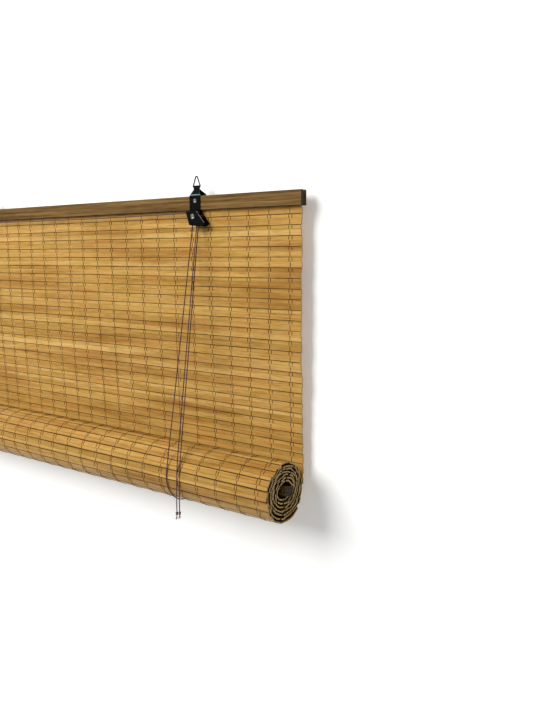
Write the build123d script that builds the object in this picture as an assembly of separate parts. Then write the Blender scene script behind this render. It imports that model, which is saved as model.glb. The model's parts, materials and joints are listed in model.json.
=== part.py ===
from build123d import *
import os
from math import acos, atan2, cos, hypot, pi, sin, tan

# Overall sizes, all in millimetres
bracket_span = 528.0
mat_width = 900.0
edge_to_bracket = 186.0
row_count = 28
row_pitch = 14.57
roll_radius = 44.0
roll_turns = 7

# Head rail
rail_height = 20.9
rail_overhang = 3.0
front_batten_thickness = 6.0
rear_batten_thickness = 5.0
mat_thickness = 2.0
rail_top_below_ring = 27.6
mat_top_below_rail_top = 2.3

# Strips of the mat
narrow_share = 0.4165
close_gap = 0.10
dark_gap = 0.30
strip_chamfer = 0.5
lean_back = 5.0
thread_pitch = 35.9
first_thread_from_edge = 19.2
thread_columns = 25
thread_band = 6.0
thread_thickness = 0.35

# Core of the roll
core_half_width = 18.5
core_half_height = 11.0
roll_lead = 8.0
bottom_rail_width = 20.0
bottom_front_thickness = 5.0
bottom_rear_thickness = 5.0
bottom_rail_tilt = 10.0
bottom_rail_inset = 5.2
bottom_rail_drop = 3.4

# Straps, rings and rivets
strap_width = 20.6
strap_thickness = 1.2
neck_width = 10.2
neck_base_z = -18.4
rear_shoulder_rise = 3.4
tab_width = 10.0
shelf_below_rail = 7.5
rear_shelf_length = 6.6
ring_wire = 2.0
ring_base = 14.8
ring_base_z = -14.4
ring_clearance = 0.08
rivet_shank = 4.0
rivet_clearance = 0.05
rivet_head = 6.2
foot_rivet_size = 2.4
foot_rivet_y = -1.9
rivet_below_rail_top = 7.0
screw_shank = 3.0
screw_head = 6.0
screw_below_rail_top = 12.6

# Cord lock and left-hand pulley housing
sheet = 1.0
housing_depth = 12.0
housing_front_y = -11.0
pulley_below_rail = 9.0
pulley_flange = 6.1
groove_root = 4.2
cord_wrap = 5.4
axle_size = 4.0
axle_clearance = 0.05
axle_head = 7.5
axle_tail = 5.6
rear_groove_y = -1.9
front_groove_y = -5.4
roller_size = 6.0
roller_neck = 2.2
roller_slot = 2.4
slot_depth = 0.65
slot_end_gap = 0.1
roller_x = 9.9
roller_below_pulley = 0.5
roller_travel = 6.0

# Cords
cord_size = 1.8
cord_gap = 0.35
pull_right_x = 27.5
pull_left_x = 22.0
knot_below_roll = 6.14
left_knot_drop = 1.5

# Values that follow from the sizes above
rail_top = -rail_top_below_ring
rail_bottom = rail_top - rail_height
mat_front_y = 2.0
mat_middle_y = mat_front_y + mat_thickness / 2
mat_rear_y = mat_front_y + mat_thickness
front_batten_y = mat_front_y - front_batten_thickness
rail_rear_y = mat_rear_y + rear_batten_thickness
mat_right = edge_to_bracket
mat_left = edge_to_bracket - mat_width
rail_right = mat_right + rail_overhang
rail_left = mat_left - rail_overhang
left_x = -bracket_span
rear_shelf_z = rail_bottom - shelf_below_rail
rivet_z = rail_top - rivet_below_rail_top
screw_z = rail_top - screw_below_rail_top
pulley_axis_z = rail_bottom - pulley_below_rail
roller_z = pulley_axis_z - roller_below_pulley
mat_top = rail_top - mat_top_below_rail_top
roll_z = mat_top - row_count * row_pitch
knot_z = roll_z - roll_radius - knot_below_roll
narrow_strip = (row_pitch - close_gap - dark_gap) * narrow_share
wide_strip = row_pitch - close_gap - dark_gap - narrow_strip
roll_y = mat_middle_y + lean_back - roll_radius
screw_xs = [rail_left + 30, rail_left + 30 + (mat_width - 54) / 3]
screw_xs.append(rail_left + 30 + (mat_width - 54) * 2 / 3)
screw_xs.append(rail_right - 30)


def yz_prism(points, x_from, x_to):
    """Solid with the outline points (y, z), from x_from to x_to."""
    outline = Polyline(*[(x_from, y, z) for y, z in points], close=True)
    return extrude(make_face(outline), amount=x_to - x_from, dir=(1, 0, 0))


def xz_prism(points, radii, y_from, y_to):
    """Solid with the outline points (x, z), rounded by radii, from y_from to y_to."""
    outline = FilletPolyline(*[(x, y_from, z) for x, z in points], radius=radii, close=True)
    return extrude(make_face(outline), amount=y_to - y_from, dir=(0, 1, 0))


def y_cylinder(x, z, size, y_from, y_to):
    """Round bar of diameter size along y."""
    middle = (y_from + y_to) / 2
    return Pos(x, middle, z) * Rot(90, 0, 0) * Cylinder(size / 2, y_to - y_from)


def turned(profile, x, z):
    """Solid of revolution about a y-axis line at (x, z) from points (radius, y)."""
    outline = Polyline(*[(r, y, 0) for r, y in profile], close=True)
    solid = revolve(make_face(outline), axis=Axis.Y, revolution_arc=360)
    return Pos(x, 0, z) * solid


def x_bar(y_from, y_to, z_from, z_to, rounding):
    """Long bar of the rail's length with rounded long edges and ends."""
    bar = Box(rail_right - rail_left, y_to - y_from, z_to - z_from)
    bar = fillet(bar.edges(), rounding)
    place = Pos((rail_left + rail_right) / 2, (y_from + y_to) / 2, (z_from + z_to) / 2)
    return place * bar


def save(node, shape):
    """Write one node of the assembly."""
    export_step(shape, "parts/" + node + ".step")
    print(node, len(shape.solids()), round(shape.volume, 1))


def group(shapes):
    """Several solids that share one node."""
    solids = []
    for shape in shapes:
        solids.extend(shape.solids())
    return Compound(children=solids)


os.makedirs("parts", exist_ok=True)


# The line the mat hangs in
def mat_y(z):
    """Middle plane of the mat at height z."""
    fall_from = mat_top - 0.41 * (mat_top - roll_z)
    share = min(max((fall_from - z) / (fall_from - roll_z), 0.0), 1.0)
    lean = lean_back * share * share * (3 - 2 * share)
    wave = 0.25 * sin((z - fall_from) / 33.0) * share * (1 - share) * 4
    return mat_middle_y + lean + wave


joints = []
for row in range(row_count + 1):
    joint_z = mat_top - row * row_pitch
    joints.append((mat_y(joint_z), joint_z))


# Holes and screws through the head rail
def screw_tool(x, z, front_y, extra):
    """Countersunk screw from the rear face, or its hole when extra is given."""
    shank = screw_shank / 2 + extra
    head = screw_head / 2 + extra
    depth = head - shank
    profile = [
        (0, front_y),
        (shank, front_y),
        (shank, rail_rear_y - depth),
        (head, rail_rear_y),
        (0, rail_rear_y),
    ]
    return turned(profile, x, z)


screw_end_y = front_batten_y + 1.8
rail_screws = [screw_tool(x, screw_z, screw_end_y, 0.0) for x in screw_xs]
rail_holes = [screw_tool(x, screw_z, screw_end_y, 0.04) for x in screw_xs]
rivet_hole = rivet_shank + 2 * rivet_clearance
for x in (0.0, left_x):
    rail_holes.append(y_cylinder(x, rivet_z, rivet_hole, front_batten_y - 5, rail_rear_y + 5))

# Head rail battens
front_batten = x_bar(front_batten_y, mat_front_y, rail_bottom, rail_top, 1.2)
rear_batten = x_bar(mat_rear_y, rail_rear_y, rail_bottom, rail_top, 1.2)
for hole in rail_holes:
    front_batten = front_batten - hole
    rear_batten = rear_batten - hole
save("front_batten", front_batten)
save("rear_batten", rear_batten)
save("rail_screws", group(rail_screws))


# Strips of the hanging mat
def strip(start, along, from_u, to_u):
    """One strip: a flat bar with chamfered edges, at from_u to to_u down the row."""
    across = (along[1], -along[0])
    half = mat_thickness / 2
    cut = strip_chamfer
    corners = [
        (from_u + cut, -half),
        (to_u - cut, -half),
        (to_u, -half + cut),
        (to_u, half - cut),
        (to_u - cut, half),
        (from_u + cut, half),
        (from_u, half - cut),
        (from_u, -half + cut),
    ]
    points = []
    for u, v in corners:
        y = start[0] + along[0] * u + across[0] * v
        z = start[1] + along[1] * u + across[1] * v
        points.append((y, z))
    return yz_prism(points, mat_left, mat_right)


for row in range(row_count):
    start = joints[row]
    end = joints[row + 1]
    length = hypot(end[0] - start[0], end[1] - start[1])
    along = ((end[0] - start[0]) / length, (end[1] - start[1]) / length)
    narrow = strip(start, along, 0.0, narrow_strip)
    wide = strip(start, along, narrow_strip + close_gap, length - dark_gap)
    if row < 2:
        for hole in rail_holes:
            narrow = narrow - hole
            wide = wide - hole
    save("weave_row_%02d" % (row + 1), group([narrow, wide]))


# Warp threads on both faces of the hanging mat
def thread_outline(side):
    """Outline (y, z) of a thread band on one face, side -1 front or +1 rear."""
    near = side * (mat_thickness / 2 + 0.15)
    far = near + side * thread_thickness
    steps = list(range(2, row_count, 2))
    if steps[-1] != row_count:
        steps.append(row_count)
    points = [(joints[k][0] + near, joints[k][1]) for k in steps]
    points += [(joints[k][0] + far, joints[k][1]) for k in reversed(steps)]
    return points


thread_xs = []
for column in range(thread_columns):
    thread_x = mat_right - first_thread_from_edge - column * thread_pitch
    if thread_x - thread_band > mat_left:
        thread_xs.append(thread_x)
for name, side in (("warp_threads_front", -1), ("warp_threads_rear", 1)):
    outline = thread_outline(side)
    bands = [yz_prism(outline, x - thread_band / 2, x + thread_band / 2) for x in thread_xs]
    save(name, group(bands))


# Bottom rail, flat in the core of the roll
tilt = bottom_rail_tilt * pi / 180
core_z = roll_z + roll_lead * 0.5
bottom_half = bottom_rail_width / 2
bottom_y = roll_y + core_half_width - bottom_rail_inset - bottom_half
bottom_z = core_z - bottom_rail_drop


def bottom_place(u, v):
    """Point u along the bottom rail's width towards the wall and v above its middle."""
    y = bottom_y + u * cos(tilt) + v * sin(tilt)
    z = bottom_z - u * sin(tilt) + v * cos(tilt)
    return (y, z)


def bottom_bar(v_from, v_to):
    """One batten of the bottom rail."""
    cut = 1.0
    if v_to > 0:
        low, high = 0.0, cut
    else:
        low, high = cut, 0.0
    corners = [
        (-bottom_half + low, v_from),
        (bottom_half - low, v_from),
        (bottom_half, v_from + low),
        (bottom_half, v_to - high),
        (bottom_half - high, v_to),
        (-bottom_half + high, v_to),
        (-bottom_half, v_to - high),
        (-bottom_half, v_from + low),
    ]
    points = []
    for u, v in corners:
        if (u, v) not in points:
            points.append((u, v))
    return yz_prism([bottom_place(u, v) for u, v in points], rail_left, rail_right)


def bottom_screw(x, extra):
    """Countersunk screw through both battens, square to them."""
    shank = screw_shank / 2 + extra
    head = screw_head / 2 + extra
    low = -mat_thickness / 2 - bottom_rear_thickness
    high = mat_thickness / 2 + bottom_front_thickness - 1.6
    profile = [
        (0, low),
        (head, low),
        (shank, low + head - shank),
        (shank, high),
        (0, high),
    ]
    outline = Polyline(*[(r, 0, v) for r, v in profile], close=True)
    screw = revolve(make_face(outline), axis=Axis.Z, revolution_arc=360)
    place = Pos(x, bottom_y, bottom_z) * Rot(-bottom_rail_tilt, 0, 0)
    return place * screw


upper = bottom_bar(mat_thickness / 2, mat_thickness / 2 + bottom_front_thickness)
lower = bottom_bar(-mat_thickness / 2 - bottom_rear_thickness, -mat_thickness / 2)
bottom_holes = [bottom_screw(x, 0.04) for x in screw_xs]
for hole in bottom_holes:
    upper = upper - hole
    lower = lower - hole
save("bottom_batten_front", upper)
save("bottom_batten_rear", lower)
save("bottom_rail_screws", group([bottom_screw(x, 0.0) for x in screw_xs]))


# The rolled mat: straight strips joined corner to corner along a spiral
def spiral(t):
    """Middle of the mat after t turns, counted outwards from the core."""
    angle = -2 * pi * (roll_turns - t)
    share = t / roll_turns
    half_width = core_half_width + (roll_radius - core_half_width) * share
    half_height = core_half_height + (roll_radius - core_half_height) * share
    centre_z = roll_z + 0.5 * roll_lead * (1 - share)
    return (roll_y + half_width * cos(angle), centre_z + half_height * sin(angle))


def step_inwards(t, length):
    """Turn count at which the next joint lies length away from spiral(t)."""
    here = spiral(t)
    near, far = t - 0.35, t
    for _ in range(40):
        middle = (near + far) / 2
        there = spiral(middle)
        if hypot(there[0] - here[0], there[1] - here[1]) > length:
            near = middle
        else:
            far = middle
    return (near + far) / 2


roll_gap = 0.15
turn = roll_turns - roll_gap / (2 * pi * roll_radius)
corners = [spiral(turn)]
index = 0
while True:
    width = narrow_strip + close_gap if index % 2 == 0 else wide_strip + dark_gap
    turn = step_inwards(turn, width)
    if turn < 0.04:
        break
    corners.append(spiral(turn))
    index += 1
rear_edge = bottom_place(bottom_half + 1.6, 0.0)
last = corners[-1]
if hypot(last[0] - rear_edge[0], last[1] - rear_edge[1]) > 1.2 * wide_strip:
    corners.append(spiral(0.0))
corners.append(rear_edge)
corners.append(bottom_place(bottom_half - 7.0, 0.0))
corners.append(bottom_place(-bottom_half + 5.0, 0.0))
corners.append(bottom_place(-bottom_half, 0.0))


def unit(a, b):
    """Direction from a to b."""
    length = hypot(b[0] - a[0], b[1] - a[1])
    return ((b[0] - a[0]) / length, (b[1] - a[1]) / length)


def mat_side(side):
    """One face of the rolled mat: full thickness on the strips, a notch at each joint."""
    half = mat_thickness / 2
    points = []
    first = unit(corners[0], corners[1])
    points.append((corners[0][0] + first[1] * half * side, corners[0][1] - first[0] * half * side))
    for k in range(1, len(corners) - 1):
        before = unit(corners[k - 1], corners[k])
        after = unit(corners[k], corners[k + 1])
        bend = acos(max(-1.0, min(1.0, before[0] * after[0] + before[1] * after[1])))
        reach = max(0.6, half * tan(bend / 2) + 0.15)
        x, z = corners[k]
        middle = (before[0] + after[0], before[1] + after[1])
        size = hypot(middle[0], middle[1])
        middle = (middle[0] / size, middle[1] / size)
        notch = 0.35 if bend < 0.9 else 0.8
        for d, back, out in ((before, -reach, half), (middle, 0.0, notch), (after, reach, half)):
            px = x + d[0] * back + d[1] * out * side
            pz = z + d[1] * back - d[0] * out * side
            points.append((px, pz))
    final = unit(corners[-2], corners[-1])
    end = corners[-1]
    points.append((end[0] + final[1] * half * side, end[1] - final[0] * half * side))
    return points


roll_outline = mat_side(1) + list(reversed(mat_side(-1)))
rolled_mat = yz_prism(roll_outline, mat_left, mat_right)
for hole in bottom_holes:
    rolled_mat = rolled_mat - hole
save("rolled_mat", rolled_mat)
roll_reach = max(hypot(y - roll_y, z - roll_z) for y, z in roll_outline)
front_reach = roll_y - min(y for y, z in roll_outline)
below_reach = roll_z - min(z for y, z in roll_outline)
print("roll", len(corners), "corners, centre", round(roll_y, 2), round(roll_z, 2))
print("roll reaches", round(roll_reach, 2), round(front_reach, 2), round(below_reach, 2))


# Folded straps with their eyes
def folded(points, radii):
    """Bent sheet of the strap's thickness along points (y, z)."""
    path = FilletPolyline(*[(y, z) for y, z in points], radius=radii)
    flat = trace(path, strap_thickness)
    return extrude(Plane.YZ * flat, strap_width / 2, both=True)


half_sheet = strap_thickness / 2
leg_y = front_batten_y - half_sheet
rear_leg_y = rail_rear_y + half_sheet
foot_z = rail_bottom - 0.1 - half_sheet
foot_bottom = foot_z - half_sheet
eye_bore = ring_wire / 2 + ring_clearance
eye_outer = eye_bore + strap_thickness
strap_front = folded(
    [
        (0.8, foot_z),
        (leg_y, foot_z),
        (leg_y, rail_top + 0.9),
        (-half_sheet, neck_base_z),
        (-half_sheet, ring_base_z - 1.6),
    ],
    [1.0, 2.5, 2.5],
)
strap_rear = folded(
    [
        (half_sheet, ring_base_z - 1.6),
        (half_sheet, neck_base_z),
        (rear_leg_y, rail_top + 1.6),
        (rear_leg_y, rear_shelf_z),
        (rear_leg_y + rear_shelf_length, rear_shelf_z),
    ],
    [2.5, 2.5, 1.4],
)
eye = Pos(0, 0, ring_base_z) * Rot(0, 90, 0) * Cylinder(eye_outer, strap_width)
eye_hole = Pos(0, 0, ring_base_z) * Rot(0, 90, 0) * Cylinder(eye_bore, strap_width + 2)


def strap_outline(neck_end, shoulder_z):
    """Cutter with the outline of one leg: neck, sloping shoulders, plate and tab."""
    half_right = [
        (neck_width / 2, ring_base_z + 4),
        (neck_width / 2, neck_end),
        (strap_width / 2, shoulder_z),
        (strap_width / 2, rail_bottom - 2.2),
        (tab_width / 2, rail_bottom - 3.6),
        (tab_width / 2, rear_shelf_z - 3),
    ]
    half_left = [(-x, z) for x, z in reversed(half_right)]
    corner_radii = [0.8, 2.5, 2.0, 1.2, 1.0, 0.5]
    radii = corner_radii + corner_radii[::-1]
    return xz_prism(half_right + half_left, radii, leg_y - 5, rear_leg_y + 20)


front_outline = strap_outline(neck_base_z + 0.6, rail_top + 0.4)
rear_outline = strap_outline(neck_base_z + 1.4, rail_top + rear_shoulder_rise)
shelf_hole_y = rear_leg_y + rear_shelf_length - 3.2
shelf_hole = Pos(0, shelf_hole_y, rear_shelf_z) * Cylinder(cord_size / 2 + 0.35, 6)
strap = ((strap_front + eye) & front_outline) + (strap_rear & rear_outline)
strap = strap - eye_hole - shelf_hole
strap = strap - y_cylinder(0, rivet_z, rivet_hole, leg_y - 5, rear_leg_y + 5)


def foot_holes(x_list):
    """Holes for the two small rivets through foot and housing."""
    size = foot_rivet_size / 2 + 0.03
    return [Pos(x, foot_rivet_y, foot_bottom) * Cylinder(size, 8) for x in x_list]


lock_rivet_xs = [-7.0, 4.6]
left_rivet_xs = [-6.0, 6.0]
strap_right = strap
for hole in foot_holes(lock_rivet_xs):
    strap_right = strap_right - hole
strap_left = strap
for hole in foot_holes(left_rivet_xs):
    strap_left = strap_left - hole
save("strap_right", strap_right)
save("strap_left", Pos(left_x, 0, 0) * strap_left)


# Rivets through strap, battens and mat, with a dome at each end
def dome(x, z, size, height, y_base, way):
    """Low dome of diameter size standing height proud of y_base."""
    radius = (size * size / 4 + height * height) / (2 * height)
    ball = Pos(x, y_base + way * (height - radius), z) * Sphere(radius)
    near, far = sorted((y_base, y_base + way * (height + 1)))
    return ball & y_cylinder(x, z, size, near, far)


def strap_rivet(x):
    """Rivet through the whole head rail."""
    front = leg_y - half_sheet
    rear = rear_leg_y + half_sheet
    shank = y_cylinder(x, rivet_z, rivet_shank, front, rear)
    head = dome(x, rivet_z, rivet_head, 1.3, front, -1)
    tail = dome(x, rivet_z, rivet_head, 1.1, rear, 1)
    return shank + head + tail


save("strap_rivet_right", strap_rivet(0.0))
save("strap_rivet_left", strap_rivet(left_x))

# Triangular wire ring
apex_bend = 2.0
base_bend = 1.4
apex_wire_z = ring_wire / 2
apex_z = apex_wire_z + 2.9
for _ in range(20):
    half_angle = atan2(ring_base / 2, apex_z - ring_base_z)
    apex_z = apex_wire_z + apex_bend * (1 / sin(half_angle) - 1)
ring_path = FilletPolyline(
    (ring_base / 2, 0, ring_base_z),
    (0, 0, apex_z),
    (-ring_base / 2, 0, ring_base_z),
    radius=[base_bend, apex_bend, base_bend],
    close=True,
)
ring_start = Plane(origin=ring_path @ 0, z_dir=ring_path % 0)
ring = sweep(ring_start * Circle(ring_wire / 2), path=ring_path)
save("ring_right", ring)
save("ring_left", Pos(left_x, 0, 0) * ring)

# Housing of the cord lock: a web under the foot and two cheeks
housing_rear_y = housing_front_y + housing_depth
inner_front = housing_front_y + sheet
inner_rear = housing_rear_y - sheet
web_bottom = foot_bottom - sheet


def housing(outline, radii, web_from, web_to, rivet_xs, slot):
    """Folded channel with cheeks of the outline (x, z)."""
    front = xz_prism(outline, radii, housing_front_y, housing_front_y + sheet)
    rear = xz_prism(outline, radii, housing_rear_y - sheet, housing_rear_y)
    web = Pos((web_from + web_to) / 2, (housing_front_y + housing_rear_y) / 2, foot_bottom - sheet / 2)
    web = web * Box(web_to - web_from, housing_depth, sheet)
    body = front + rear + web
    long_edges = body.edges().filter_by(Axis.X).sort_by(Axis.Z)[-2:]
    body = fillet(long_edges, 0.8)
    axle_hole = axle_size + 0.06
    body = body - y_cylinder(0, pulley_axis_z, axle_hole, housing_front_y - 2, housing_rear_y + 2)
    for hole in foot_holes(rivet_xs):
        body = body - hole
    if slot:
        body = body - slot_tool()
    return body


slot_x, slot_z = 0.652, -0.759


def slot_tool():
    """Slanted slot pressed into the inside of both cheeks for the roller's ends."""
    half = roller_slot / 2
    from_y = inner_front - slot_depth
    to_y = inner_rear + slot_depth
    nx, nz = -slot_z * half, slot_x * half
    ax, az = roller_x, roller_z
    bx = roller_x + slot_x * roller_travel
    bz = roller_z + slot_z * roller_travel
    body = xz_prism(
        [(ax + nx, az + nz), (bx + nx, bz + nz), (bx - nx, bz - nz), (ax - nx, az - nz)],
        [0, 0, 0, 0],
        from_y,
        to_y,
    )
    start = y_cylinder(ax, az, roller_slot, from_y, to_y)
    end = y_cylinder(bx, bz, roller_slot, from_y, to_y)
    return body + start + end


lock_outline = [
    (-13.2, foot_bottom),
    (-6.7, pulley_axis_z - 12.7),
    (15.2, pulley_axis_z - 15.3),
    (23.7, pulley_axis_z - 11.3),
    (7.2, foot_bottom),
]
lock_housing = housing(lock_outline, [0.5, 2.5, 2.0, 2.0, 0.5], -13.2, 7.2, lock_rivet_xs, True)
left_outline = [
    (-10.3, foot_bottom),
    (-8.6, pulley_axis_z - 6.0),
    (-4.6, pulley_axis_z - 11.0),
    (4.6, pulley_axis_z - 11.0),
    (8.6, pulley_axis_z - 6.0),
    (10.3, foot_bottom),
]
left_housing = housing(left_outline, [0.5, 3, 3, 3, 3, 0.5], -10.3, 10.3, left_rivet_xs, False)
save("lock_housing", lock_housing)
save("pulley_housing_left", Pos(left_x, 0, 0) * left_housing)


# Small rivets that hold each housing to its strap
def foot_rivet(x):
    """Flush above the foot, with a low head under the web."""
    top = foot_bottom + strap_thickness
    shank = Cylinder(foot_rivet_size / 2, top - web_bottom)
    shank = Pos(x, foot_rivet_y, (top + web_bottom) / 2) * shank
    head = Pos(x, foot_rivet_y, web_bottom - 0.25) * Cylinder(1.9, 0.5)
    return shank + head


save("lock_foot_rivets", group([foot_rivet(x) for x in lock_rivet_xs]))
save("foot_rivets_left", Pos(left_x, 0, 0) * group([foot_rivet(x) for x in left_rivet_xs]))

# Pulley wheels with two grooves, and a boss that spaces them off the front cheek
bore = axle_size / 2 + axle_clearance
wheel_profile = [
    (bore, inner_front + 0.3),
    (3.3, inner_front + 0.3),
    (3.3, front_groove_y - 3.5),
    (pulley_flange, front_groove_y - 3.5),
    (pulley_flange, front_groove_y - 2.7),
    (groove_root, front_groove_y - 1.4),
    (groove_root, front_groove_y + 0.9),
    (pulley_flange - 0.8, front_groove_y + 1.25),
    (pulley_flange - 0.8, rear_groove_y - 2.05),
    (groove_root, rear_groove_y - 1.3),
    (groove_root, rear_groove_y + 0.9),
    (pulley_flange, rear_groove_y + 1.25),
    (pulley_flange, inner_rear - 0.3),
    (bore, inner_rear - 0.3),
]
wheel = turned(wheel_profile, 0, pulley_axis_z)
save("lock_pulley", wheel)
save("pulley_left", Pos(left_x, 0, 0) * wheel)


# Axles: a bright dome in front, a low peened end behind
def axle(x):
    """Axle through both cheeks."""
    shank = y_cylinder(x, pulley_axis_z, axle_size, housing_front_y, housing_rear_y)
    head = dome(x, pulley_axis_z, axle_head, 1.5, housing_front_y, -1)
    tail = dome(x, pulley_axis_z, axle_tail, 0.6, housing_rear_y, 1)
    return shank + head + tail


save("lock_axle", axle(0.0))
save("axle_left", axle(left_x))

# Locking roller: a ribbed barrel between the cheeks with a neck in each slot
rib_points = []
rib_count = 18
for k in range(rib_count):
    angle = 2 * pi * k / rib_count
    rib_points.append((cos(angle) * roller_size / 2, sin(angle) * roller_size / 2))
    angle += pi / rib_count
    rib_points.append((cos(angle) * (roller_size / 2 - 0.35), sin(angle) * (roller_size / 2 - 0.35)))
rib_outline = Polyline(*[(x, inner_front + 0.3, z) for x, z in rib_points], close=True)
barrel_length = inner_rear - inner_front - 0.6
barrel = extrude(make_face(rib_outline), amount=barrel_length, dir=(0, 1, 0))
neck_reach = slot_depth - slot_end_gap
necks = y_cylinder(0, 0, roller_neck, inner_front - neck_reach, inner_rear + neck_reach)
save("lock_roller", Pos(roller_x, 0, roller_z) * (barrel + necks))

# Cords, each one as corners joined by curves
wrap = (roll_reach + front_reach) / 2 + cord_size / 2 + cord_gap
wrap_y = roll_y + (roll_reach - front_reach) / 2
tail_lean = atan2(rear_groove_y - wrap_y + wrap, pulley_axis_z - roll_z)
wrap_angle = pi + tail_lean
corner_step = wrap_angle / 4
corner_reach = wrap / cos(corner_step / 2)
wrap_corners = []
for k in range(4):
    angle = -corner_step * (k + 0.5)
    wrap_corners.append((wrap_y + corner_reach * cos(angle), roll_z + corner_reach * sin(angle)))
belly_y = wrap_y - wrap - 0.3
belly_z = roll_z + 5.0
high = cord_wrap
low = cord_wrap * tan(pi / 8)
cord_start_z = rear_shelf_z + strap_thickness / 2 + 1.4


def cord(node, points, radii):
    """Round cord along points with the given corner radii."""
    path = FilletPolyline(*points, radius=radii)
    start = Plane(origin=path @ 0, z_dir=path % 0)
    solid = sweep(start * Circle(cord_size / 2), path=path)
    save(node, solid)
    expected = path.length * pi * cord_size * cord_size / 4
    print(node, "length", round(path.length, 1), "volume share", round(solid.volume / expected, 4))
    for point, radius in zip(points, [0] + list(radii) + [0]):
        print("   ", [round(v, 2) for v in point], round(radius, 1))


right_points = [(0.0, shelf_hole_y, cord_start_z)]
right_radii = []
for (y, z), x in zip(wrap_corners, (0.0, 0.5, 1.5, 2.2)):
    right_points.append((x, y, z))
    right_radii.append(0.97 * wrap)
for x, z in ((-high, low), (-low, high), (low, high), (high, low)):
    right_points.append((x, rear_groove_y, pulley_axis_z + z))
    right_radii.append(0.93 * high)
right_points.append((pull_right_x, belly_y, belly_z))
right_radii.append(wrap)
right_points.append((pull_right_x, belly_y, knot_z))
cord("cord_right", right_points, right_radii)

left_points = [(left_x, shelf_hole_y, cord_start_z)]
left_radii = []
for (y, z), x in zip(wrap_corners, (0.0, 0.5, 1.5, 2.2)):
    left_points.append((left_x + x, y, z))
    left_radii.append(0.97 * wrap)
for x, z in ((-high, low), (-low, high)):
    left_points.append((left_x + x, front_groove_y, pulley_axis_z + z))
    left_radii.append(0.93 * high)
for share, sag in ((0.17, 0.9), (0.5, 2.0), (0.83, 0.9)):
    left_points.append((left_x * (1 - share), front_groove_y, pulley_axis_z + high - sag))
    left_radii.append(1500.0)
for x, z in ((low, high), (high, low)):
    left_points.append((x, front_groove_y, pulley_axis_z + z))
    left_radii.append(0.93 * high)
left_points.append((pull_left_x, belly_y, belly_z))
left_radii.append(wrap)
left_points.append((pull_left_x, belly_y, knot_z - left_knot_drop))
cord("cord_left", left_points, left_radii)


# Knots at the ends of the cords
def knot(x, y, z, size, height):
    """Barrel-shaped knot, plain where the cord runs through it."""
    profile = [
        (0, -height / 2),
        (size * 0.3, -height / 2),
        (size * 0.5, -height / 5),
        (size * 0.5, height / 5),
        (size * 0.3, height / 2),
        (0, height / 2),
    ]
    outline = Polyline(*[(r, 0, h) for r, h in profile], close=True)
    return Pos(x, y, z) * revolve(make_face(outline), axis=Axis.Z, revolution_arc=360)


rear_knot_z = rear_shelf_z + strap_thickness / 2 + 1.6
rear_knots = [knot(x, shelf_hole_y, rear_knot_z, 4.6, 3.2) for x in (0.0, left_x)]
save("rear_knots", group(rear_knots))
pull_knots = [
    knot(pull_right_x, belly_y, knot_z, 4.4, 4.6),
    knot(pull_left_x, belly_y, knot_z - left_knot_drop, 4.4, 4.6),
]
save("pull_cord_knots", group(pull_knots))
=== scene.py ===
# %% [markdown]
# # A bamboo roll-up blind
# The blind hangs by two wire rings and is rolled most of the way up. Its frame comes from
# the CAD model, in metres: x runs to the right along the head rail, y goes to the wall
# and z goes up. The origin is the place where the hook sits in the right-hand ring.

import json
import math

import bpy
import numpy as np
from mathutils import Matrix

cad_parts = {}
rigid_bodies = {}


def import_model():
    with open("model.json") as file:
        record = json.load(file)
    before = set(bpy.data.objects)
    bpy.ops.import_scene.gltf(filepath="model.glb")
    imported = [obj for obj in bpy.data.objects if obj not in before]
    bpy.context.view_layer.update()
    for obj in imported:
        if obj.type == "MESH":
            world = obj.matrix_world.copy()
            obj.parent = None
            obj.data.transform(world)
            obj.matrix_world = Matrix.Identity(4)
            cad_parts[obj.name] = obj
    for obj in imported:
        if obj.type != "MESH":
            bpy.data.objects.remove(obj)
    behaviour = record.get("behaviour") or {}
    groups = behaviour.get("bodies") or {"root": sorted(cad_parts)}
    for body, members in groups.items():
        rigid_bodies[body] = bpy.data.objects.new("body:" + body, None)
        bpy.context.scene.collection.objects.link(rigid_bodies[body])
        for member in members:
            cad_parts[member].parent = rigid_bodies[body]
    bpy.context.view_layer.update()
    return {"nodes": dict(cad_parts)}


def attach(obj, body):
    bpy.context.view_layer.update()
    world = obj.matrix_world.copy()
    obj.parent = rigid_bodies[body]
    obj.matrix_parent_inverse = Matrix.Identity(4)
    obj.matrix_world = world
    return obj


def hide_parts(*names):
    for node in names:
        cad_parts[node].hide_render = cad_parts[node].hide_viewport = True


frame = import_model()
MM = 0.001

# %% [markdown]
# The camera comes first, because the cords are judged by what it sees. It stands below the
# head rail, in front and to the right, and looks to the left and a little down, so the
# blind runs off the left of the picture.

# %% Camera
camera_data = bpy.data.cameras.new("camera")
camera_data.lens = 35.0
camera_data.sensor_width = 36.0
camera_data.shift_x = -0.0259
camera = bpy.data.objects.new("camera", camera_data)
camera.location = (0.7169, -0.7973, -0.1191)
camera.rotation_euler = (math.radians(81.742), 0.0, math.radians(34.662))
bpy.context.collection.objects.link(camera)
bpy.context.scene.camera = camera
print("camera lens", camera_data.lens)
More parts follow.
